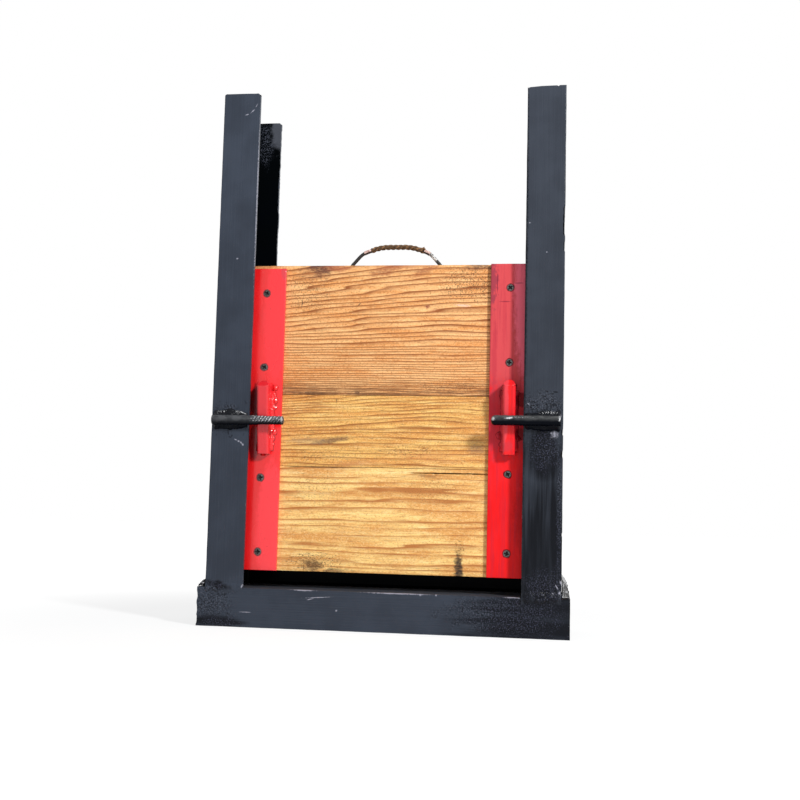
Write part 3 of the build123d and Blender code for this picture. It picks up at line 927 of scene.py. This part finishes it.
lower_wood = timber(
    "pine_lower", 29, box("lower_board")[0].z, lines=(0.095, 0), sway=(4, 80, 200, 8),
    tones=((0.96, 0.64, 0.222), (0.46, 0.17, 0.04), (0.75, 0.35, 0.09), (1, 0.81, 0.42)),
    patchy=(0.34, 0.62),
    stains=[
        stain(97, 84, 7, 24, 1, DARK), stain(97, 76, 7.5, 18, 0.9, (0.022, 0.014, 0.01)),
        stain(-92, 80, 17, 12, 0.95, (0.095, 0.045, 0.018)), stain(-60, 74, 26, 4, 0.7, (0.12, 0.08, 0.04)),
        stain(52, 197, 22, 3, 0.5, BROWN, 8), stain(86, 201, 52, 1.3, 1, (0.02, 0.012, 0.01)),
        stain(-80, 205.6, 60, 0.9, 0.9, DARK),
    ],
    specks=[
        specked(-90, 84, 50, 18, 1), specked(97, 98, 9, 30, 0.9), specked(-90, 178, 56, 34, 0.6),
        specked(60, 180, 60, 26, 0.55),
    ],
)
screw_steel = plain_metal(
    "screw_black", 5, (0.17, 0.165, 0.16), (0.014, 0.012, 0.011), shine=0.35, share=0.44, grain=1.6)
wire_steel = plain_metal(
    "wire_steel", 7, (0.06, 0.06, 0.06), (0.01, 0.009, 0.008), shine=0.22, share=0.38, grain=5,
    white_glints=[ellipse(54, -5.5, 490, 10, BIG, 12)])
rope_brown = rope_fibre("rope_brown", 9)
pale_tape = tape("pale_tape", 15)

UPRIGHT_NICKS = ((506, 544, 2.4), (484, 499, 1.1), (250, 258, 1.9), (221, 231, 1.6), (125, 131, 0.9))
UPRIGHT_TOP = ((176, 2), (194, 0.5), (213.6, 0.4), (215.4, 1.4), (217.2, 0), (226, 0))
REAR_NICKS = ((640, 690, 0.7), (566, 634, 1.2), (480, 548, 0.8))
TOP_CORNER = 3.6
TOP_REACH = 2
SILL_NICKS = ((2, 14), (16, 30), (32, 44))
ARCH_HEIGHT = 9
ARCH_RADIUS = 9.4
CRACK = {"from": 34, "to": 134, "at": 200.8, "half": 0.8, "depth": 5}


def shape_left(bm, low, high):
    """Rounds the top corners of the left upright and roughens the edge of its rear flange."""
    for inset in (0.4, 1.2, 2.4, TOP_CORNER):
        bisect(bm, "x", low.x + inset)
        bisect(bm, "x", high.x - inset)
    for v in bm.verts:
        beyond = TOP_CORNER - min(v.co.x - low.x, high.x - v.co.x)
        if v.co.z > high.z - TOP_REACH and beyond > 0:
            v.co.z -= TOP_CORNER - sqrt(max(TOP_CORNER ** 2 - beyond ** 2, 0))
    for seed, (low_z, high_z, depth) in enumerate(REAR_NICKS):
        gnaw(bm, high.x, low_z, high_z, depth, seed + 3, inward=-1, least_y=50)


def shape_right(bm, low, high):
    """Nicks the outer face of the right upright and gives it a top that was cut by hand."""
    for seed, (low_z, high_z, depth) in enumerate(UPRIGHT_NICKS):
        gnaw(bm, high.x, low_z, high_z, depth, seed)
    for x, _ in UPRIGHT_TOP[1:-1]:
        bisect(bm, "x", x)
    for v in bm.verts:
        if v.co.z > high.z - TOP_REACH:
            for (x, drop), (next_x, next_drop) in zip(UPRIGHT_TOP, UPRIGHT_TOP[1:]):
                if x <= v.co.x <= next_x:
                    v.co.z -= drop + (next_drop - drop) * (v.co.x - x) / (next_x - x)
                    break


def fray_sill(bm, low, high):
    """Roughens the left end of the sill."""
    for seed, (low_z, high_z) in enumerate(SILL_NICKS):
        gnaw(bm, low.x, low_z, high_z, 1.2, seed + 7)


def arch_wedge(bm, low, high):
    """Rounds the top of a wedge into an arch."""
    middle, brow = (low.x + high.x) / 2, high.z - ARCH_HEIGHT
    for number in range(6):
        bisect(bm, "z", brow + 1.5 * number)
    for v in bm.verts:
        share = max((v.co.z - brow) / ARCH_RADIUS, 0)
        v.co.x = middle + (v.co.x - middle) * sqrt(1 - share * share)


def open_crack(bm, low, high):
    """Splits the face of the lower board along its grain, wide and ragged at one end."""
    for offset in (-1, 0, 1):
        bisect(bm, "z", CRACK["at"] + offset * CRACK["half"])
    for v in bm.verts:
        x, y, z = v.co
        row = round((z - CRACK["at"]) / CRACK["half"], 2)
        if y > BOARD_Y + 0.5 or row not in (-1, 0, 1) or not CRACK["from"] < x < CRACK["to"]:
            continue
        share = (x - CRACK["from"]) / (CRACK["to"] - CRACK["from"])
        swell = min(share * 14, 1)
        jag = wave(x / 5, 7.7, 0) + 0.6 * wave(x / 1.9, 3.1, 0)
        v.co.z += 0.7 * jag * swell - row * CRACK["half"] * 0.35 * wave(x / 7, 1.1, 0)
        if row == 0:
            v.co.y += CRACK["depth"] * swell


for side, paint, seed, later in (("left", left_paint, 1, shape_left), ("right", right_paint, 2, shape_right)):
    dressed(
        f"{side}_guide_channel", f"{side}_guide", BLACK_STEEL, paint, [("z", 9), ("y", 8), ("x", 8)],
        [(0.4, (16, 16, 30), seed), (0.25, (4, 4, 9), seed + 5)], bevel=0.5, lining=shaded_inside_paint, later=later)
    dressed(
        f"{side}_seat_bar", f"{side}_seat", BLACK_STEEL, shaded_bar_paint, [("z", 18)],
        [(0.25, (20, 20, 30), seed + 7)])
dressed(
    "sill_channel", "sill", BLACK_STEEL, sill_paint, [("x", 8), ("y", 8), ("z", 6)],
    [(0.4, (30, 16, 14), 3), (0.25, (9, 4, 4), 8)], bevel=0.5, later=fray_sill)
dressed("bottom_seat_bar", "bottom_seat", BLACK_STEEL, shaded_bar_paint, [("x", 18)], [(0.25, (30, 20, 20), 9)])

for side, paint, wedge_paint, seed in (
    ("left", left_red, left_wedge_red, 11), ("right", right_red, right_wedge_red, 12),
):
    for face, strap_paint, strap_seed in (("front", paint, seed), ("rear", rear_red, seed + 4)):
        dressed(
            f"{side}_{face}_strap", f"{side}_strap_{face}", RED_STEEL, strap_paint, [("z", 7), ("x", 7)],
            [(0.22, (14, 14, 26), strap_seed)])
    dressed(
        f"{side}_wedge", f"{side}_wedge_bar", RED_STEEL, wedge_paint, [("z", 3), ("x", 3)],
        [(0.5, (6, 6, 9), seed + 8)], bevel=0.8, later=arch_wedge)

for row, paint, seed, later in (
    ("upper", upper_wood, 31, None), ("middle", middle_wood, 32, None), ("lower", lower_wood, 33, open_crack),
):
    dressed(
        f"{row}_board", f"{row}_plank", TIMBER, paint, [("x", 3), ("z", 2.6)],
        [(0.35, (70, 20, 3.5), seed), (0.25, (9, 9, 2.5), seed + 3)], later=later)

SCREW_HEAD = 4.2
SCREW_PROFILE = (
    (1.4, 8, 0), (1.9, 3, 0), (SCREW_HEAD - 0.15, 0.75, 0), (SCREW_HEAD, 0.5, 0), (SCREW_HEAD - 0.2, 0.38, 0),
    (0, 0.36, 1), (0, 1.6, 0.8), (0, 2.4, 0.3),
)


def add_screw(bm, centre, outward, turn):
    """A countersunk screw, its axis along Y. Its profile has radii, depths and the size of the cross recess,
    which is marked for the painted shade."""
    arm, slit = 3.1, 1.15
    layer = bm.faces.layers.float.get("recess") or bm.faces.layers.float.new("recess")
    rings = []
    for radius, depth, cross in SCREW_PROFILE:
        rings.append([])
        for angle in spread(0, 2 * pi, 48)[:-1]:
            c, n = abs(cos(angle)) + 1e-6, abs(sin(angle)) + 1e-6
            size = radius + cross * max(min(arm / c, slit / n), min(slit / c, arm / n))
            out = Vector((size * cos(angle + turn), -outward * depth, size * sin(angle + turn)))
            rings[-1].append(bm.verts.new(centre + out))
    for (_, _, cross), band in zip(SCREW_PROFILE, skin(bm, rings)):
        for face in band:
            face[layer] = float(cross > 0)


for side, seed in (("left", 61), ("right", 62)):
    for face, y, outward in (("front", STRAP_Y, -1), ("rear", STRAP_BACK_Y, 1)):
        rng = random.Random(seed)
        bm = bmesh.new()
        for height in SCREW_HEIGHTS[side]:
            add_screw(bm, Vector((SCREW_X[side], y, height)), outward, rng.uniform(0, pi))
        make(f"{side}_{face}_screws", bm, BARE_STEEL, screw_steel)


def make_rod(side, paint, rib_depth, rib_pitch, tip, seed):
    """A catch rod; the left one is ribbed bar, its ribs choked with paint near the weld."""
    low, high = box(f"{side}_catch_rod")
    middle, radius = (low + high) / 2, (high.z - low.z) / 2
    inner, outer = (high.x, low.x) if side == "left" else (low.x, high.x)
    choked_from, choked_over, rib_lean = 168, 14, 3.2
    points = [Vector((x, middle.y, middle.z)) for x in spread(inner, outer, 200)]

    def size(along, angle, offset):
        x = abs(inner) + along
        end = min(along, tip)
        rounded = sqrt(max(1 - ((tip - end) / tip) ** 2, 0)) * tip + radius - tip
        slant = (along + rib_lean * offset.z) / rib_pitch
        rib = (0.5 + 0.5 * cos(2 * pi * slant)) * abs(offset.y) ** 0.5
        bare = min(max((choked_from - x) / choked_over, 0.08), 1)
        rough = wave(along / 5, offset.y, offset.z + seed)
        return max(rounded - rib_depth * (1 - rib) * bare - 0.3 * (rough * 0.5 + 0.5), 0.4)

    bm = bmesh.new()
    tube(bm, points, size, 48)
    make(f"{side}_rod", bm, BLACK_STEEL, paint, [f"{side}_catch_rod"], crease=60)


make_rod("left", left_rod_paint, rib_depth=1, rib_pitch=4.2, tip=1, seed=4)
make_rod("right", right_rod_paint, rib_depth=0, rib_pitch=9, tip=5, seed=5)


FULLEST = 0.6


def make_rod_weld(side, paint, seed, over, under, drops):
    """Lumpy weld metal over and under a rod, with drops thrown on the flange round it and painted with it.
    over, under: the share of its room that it fills at its outer end, where it is fullest, at its inner."""
    low, high = box(f"{side}_rod_weld")
    rod_low, rod_high = box(f"{side}_catch_rod")
    rod_z, rod_radius = (rod_low.z + rod_high.z) / 2, (rod_high.z - rod_low.z) / 2
    outer, inner = (low.x, high.x) if side == "left" else (high.x, low.x)

    def rise(x, z):
        up = z - rod_z
        inwards = (x - outer) / (inner - outer)
        room, fills = (high.z - rod_z, over) if up > 0 else (rod_z - low.z, under)
        outer_share = max(1 - inwards / FULLEST, 0)
        inner_share = max((inwards - FULLEST) / (1 - FULLEST), 0)
        reach = room * (fills[1] + (fills[0] - fills[1]) * outer_share + (fills[2] - fills[1]) * inner_share)
        reach += lumps(x, up > 0, seed, (1.5, 6), (0.9, 2.6))
        ends = min((x - low.x) / 3, (high.x - x) / 3, 1)
        share = (reach - abs(up)) / (reach - rod_radius * 0.6)
        if share <= 0 or ends <= 0:
            return SKIN_FLOOR
        crest = 6.2 * min(share, 1) ** 0.6 * ends ** 0.5
        pile = lumps(x, z, seed + 2, (1.3, 3.8), (0.6, 1.7))
        return crest + pile * min(share * 3, 1)

    bm = crust((low.x - 0.5, low.z - 2), (high.x + 0.5, high.z + 2), base_y=high.y, step=0.5, rise=rise)
    make(f"{side}_rod_bead", bm, BLACK_STEEL, weld_paint, [f"{side}_rod_weld"], crease=75)
    bm = bmesh.new()
    middle = (low.x + high.x) / 2
    spatter(bm, seed, drops, (middle, high.y, rod_z + 19), scatter=(21, 7), sizes=(0.4, 1.3))
    spatter(bm, seed + 9, drops // 2, (middle, high.y, rod_z - 16), scatter=(20, 5), sizes=(0.4, 1))
    make(f"{side}_spatter", bm, BLACK_STEEL, paint)


make_rod_weld("left", left_paint, 71, over=(0.82, 0.95, 0.62), under=(1.05, 1.08, 0.82), drops=14)
make_rod_weld("right", right_paint, 72, over=(0.88, 0.78, 0.58), under=(1.1, 1.1, 0.85), drops=40)


def make_foot_weld(side, paint, seed):
    """The fillet on the sill's end, laid in uneven passes and left rough."""
    bm = closed_copy(f"{side}_foot_weld")
    for axis in "yzx":
        cut_across(bm, axis, 1.3)
    wear(bm, 1.8, (5, 5, 5), seed)
    wear(bm, 0.9, (2, 2, 2), seed + 1)
    make(f"{side}_foot_bead", bm, BLACK_STEEL, paint, [f"{side}_foot_weld"], crease=75)


make_foot_weld("left", weld_paint, 81)
make_foot_weld("right", crumbly_paint, 82)


def make_foot_seam(side, paint, seed, stand, reach, drops):
    """Weld metal along the front joint of an upright and the sill, ground and painted over."""
    low, high = box(f"{side}_guide_channel")

    def rise(x, z):
        run = reach * (1 + lumps(x, z, seed, (0.4, 11)))
        share = 1 - abs(z - low.z) / run
        if share <= 0:
            return SKIN_FLOOR
        heap = stand * min(share * 1.6, 1) ** 1.3
        return heap * (1 + lumps(x, z, seed + 1, (0.6, 4.5), (0.35, 2))) - 0.3

    first, last = (low.x + 0.6, low.z - 2 * reach), (high.x - 0.6, low.z + 2 * reach)
    bm = crust(first, last, base_y=low.y, step=0.8, rise=rise)
    spatter(bm, seed, drops, ((low.x + high.x) / 2, low.y, low.z), scatter=(20, 10), sizes=(0.5, 1.6))
    make(f"{side}_foot_seam", bm, BLACK_STEEL, paint, crease=75)


make_foot_seam("left", left_paint, 83, stand=0.9, reach=6, drops=6)
make_foot_seam("right", right_paint, 84, stand=2, reach=8, drops=22)


def make_wedge_weld(side, paint, seed, blobs):
    """Red-painted weld metal round a wedge; blobs are (x, z, radius, rise) heaps on it."""
    low, high = box(f"{side}_wedge_weld")
    wedge_low, wedge_high = box(f"{side}_wedge")

    def rise(x, z):
        off = max(wedge_low.x - x, x - wedge_high.x, 0)
        run = 3.4 + lumps(x, z, seed, (1.2, 9))
        ends = min((z - low.z) / 5, (high.z - z) / 5, 1)
        share = min(1 - off / run, ends)
        height = 3.6 * share ** 0.7 if share > 0 else SKIN_FLOOR
        for blob_x, blob_z, radius, stand in blobs:
            edge_of = radius * (1 + lumps(x, z, seed + 3, (0.25, 4)))
            near = 1 - hypot(x - blob_x, z - blob_z) / edge_of
            if near > 0:
                height = max(height, stand * near ** 0.55)
        if height <= 0:
            return SKIN_FLOOR
        return height + lumps(x, z, seed + 1, (0.5, 3), (0.3, 1.4))

    bm = crust((low.x - 7, low.z - 6), (high.x + 7, high.z + 8), base_y=high.y, step=0.6, rise=rise)
    make(f"{side}_wedge_bead", bm, RED_STEEL, paint, [f"{side}_wedge_weld"], crease=75)


make_wedge_weld("left", left_red, 91, [
    (-148.5, 317, 3.4, 2.8), (-147, 308, 4.6, 4.2), (-148.5, 299, 4.4, 3.4), (-147, 291, 4.6, 3.6),
    (-148, 282, 4, 2.6), (-147, 250, 4.8, 3.6), (-148.5, 242, 4.2, 3), (-149, 234, 3.4, 2.4),
    (-160, 218.5, 3.4, 2.4),
])
make_wedge_weld("right", right_red, 92, [
    (158, 317, 6.6, 6.5), (153, 313, 4.6, 5.5), (163, 313, 4.6, 5.5), (146, 250, 5, 3.4),
    (148, 238, 3.6, 2.4), (169, 247, 4, 2.6), (148.5, 300, 3.4, 2), (168.5, 303, 3.4, 2.2),
])


def centre_line(node, x_low, x_high, step):
    """Points along the middle of a node that arches over X, found by looking at it from above and below."""
    low, high = box(node)
    y = (low.y + high.y) / 2
    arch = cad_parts[node]
    points = []
    for x in spread(x_low, x_high, int((x_high - x_low) / step)):
        _, top, _, _ = arch.ray_cast(Vector((x, y, high.z + 50)) * MM, Vector((0, 0, -1)))
        _, under, _, _ = arch.ray_cast(Vector((x, y, low.z - 50)) * MM, Vector((0, 0, 1)))
        points.append((top + under) / 2 / MM)
    return points


def wound(points, radius, lay, phase):
    """Points that wind round a line in the XZ plane, once every lay of its length."""
    result = []
    for point, ahead, length in walk(points):
        up = Vector((-ahead.z, 0, ahead.x))
        angle = 2 * pi * length / lay + phase
        result.append(point + (up * cos(angle) + Vector((0, 1, 0)) * sin(angle)) * radius)
    return result


def make_rope(x_low, x_high, strands, lay):
    """The grip: strands laid round the wire, frayed and uneven."""
    path = centre_line("handle_rope", x_low, x_high, 0.4)
    bm = bmesh.new()
    for strand in range(strands):
        def size(along, angle, offset, strand=strand):
            swell = wave(along / 6, strand * 5.1, 0.3)
            yarns = abs(sin(angle * 2.5 + along * 0.9))
            return 1.62 + 0.22 * swell - 0.18 * yarns
        tube(bm, wound(path, 2, lay, 2 * pi * strand / strands), size, 20, uv_turns=0.25)
    make("rope_grip", bm, ROPE, rope_brown, ["handle_rope"], crease=80)


def make_wrap(name, x_low, x_high, seed):
    """Tape wound over the wire where the grip ends."""
    path = centre_line("handle_wire", x_low, x_high, 0.25)

    def size(along, angle, offset):
        lap = (along / 3.2 + angle / (2 * pi)) % 1
        rough = wave(along / 2, cos(angle) + seed, sin(angle))
        return 2.55 + 0.25 * lap + 0.15 * rough

    bm = bmesh.new()
    tube(bm, path, size, 36)
    make(name, bm, ROPE, pale_tape, crease=60)


make_rope(x_low=-29, x_high=41, strands=3, lay=20)
make_wrap("left_wrap", x_low=-39, x_high=-29.5, seed=3)
make_wrap("right_wrap", x_low=41.5, x_high=49, seed=8)

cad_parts["handle_wire"].data.materials[0] = wire_steel

bpy.context.view_layer.update()
